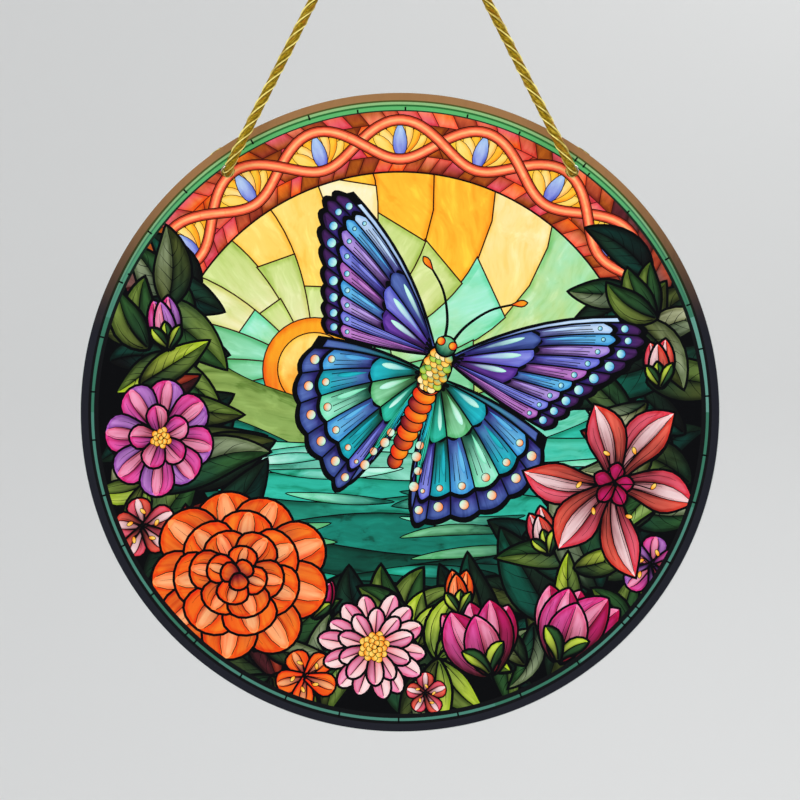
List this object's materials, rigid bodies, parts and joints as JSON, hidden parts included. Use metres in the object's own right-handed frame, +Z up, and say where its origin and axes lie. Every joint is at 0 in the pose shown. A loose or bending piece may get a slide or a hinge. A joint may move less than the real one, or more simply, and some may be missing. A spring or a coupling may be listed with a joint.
{
  "type": "acrylic suncatcher",
  "caption": "Round clear acrylic suncatcher with a printed picture, hung in a window on a loop of twisted gold cord.",
  "frame": {"origin": "hanging point: where a hook carries the cord, on the underside of the cord's top bend", "axes": "+Z up, the printed front of the disc faces -Y, the disc lies in the XZ plane"},
  "size_m": [0.15, 0.0205, 0.2071],
  "materials": {
    "clear_acrylic": "polished",
    "gold_cord": "satin",
    "printed_ink": "gloss"
  },
  "bodies": {
    "root": {"acrylic_disc": "clear_acrylic", "hanging_cord": "gold_cord", "knot_left": "gold_cord", "knot_right": "gold_cord"}
  },
  "joints": []
}
